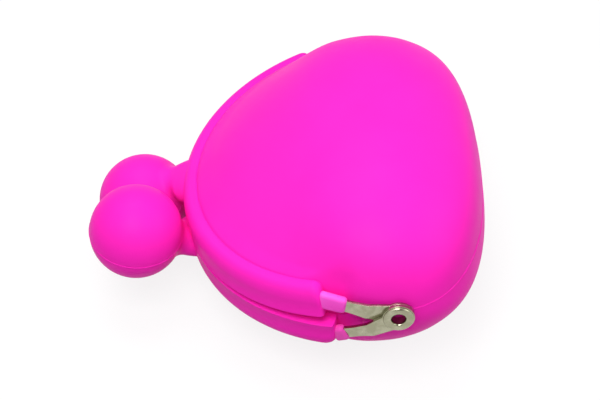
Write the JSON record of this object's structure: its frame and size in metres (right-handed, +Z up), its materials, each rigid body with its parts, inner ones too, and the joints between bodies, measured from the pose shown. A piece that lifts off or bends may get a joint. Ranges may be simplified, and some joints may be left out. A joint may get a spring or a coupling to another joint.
{
  "type": "coin purse",
  "caption": "Moulded silicone coin purse with a hinged metal frame inside its rims and a pair of ball knobs that snap past each other to close it.",
  "frame": {"origin": "middle of the bounding box's lowest face, on the surface that the purse lies on", "axes": "+X from the clasp knobs to the base of the pouch, +Y along the hinge axis, +Z up out of the front wall"},
  "size_m": [0.1014, 0.0988, 0.0542],
  "materials": {
    "silicone": "matte moulded silicone, bright pink",
    "pale_silicone": "thin matte silicone over metal, paler pink",
    "steel": "warm nickel plate, stamped and tumbled",
    "knob_core": "plain hard plastic ball, inside the knob"
  },
  "bodies": {
    "back_half": {"pouch_body": "silicone", "pouch_fold": "silicone", "side_gussets": "silicone", "back_rim": "silicone", "back_frame_arch": "steel", "back_frame_legs": "steel", "back_stem": "steel", "back_knob_core": "knob_core", "back_knob": "silicone", "back_sleeve_left": "pale_silicone", "back_sleeve_right": "pale_silicone", "hinge_rivet_left": "steel", "hinge_rivet_right": "steel"},
    "front_half": {"pouch_front": "silicone", "front_rim": "silicone", "front_frame_arch": "steel", "front_frame_legs": "steel", "front_stem": "steel", "front_knob_core": "knob_core", "front_knob": "silicone", "front_sleeve_left": "pale_silicone", "front_sleeve_right": "pale_silicone"}
  },
  "joints": [
    {"name": "opening", "type": "hinge", "parent": "back_half", "child": "front_half", "pos_m": [0.02608, 0, 0.02816], "axis": [0, 1, 0], "range_deg": [0, 40], "stiffness_Nm_per_rad": 0.02, "springref_deg": -28.65, "deforming": ["pouch_fold", "side_gussets", "back_knob"]}
  ]
}
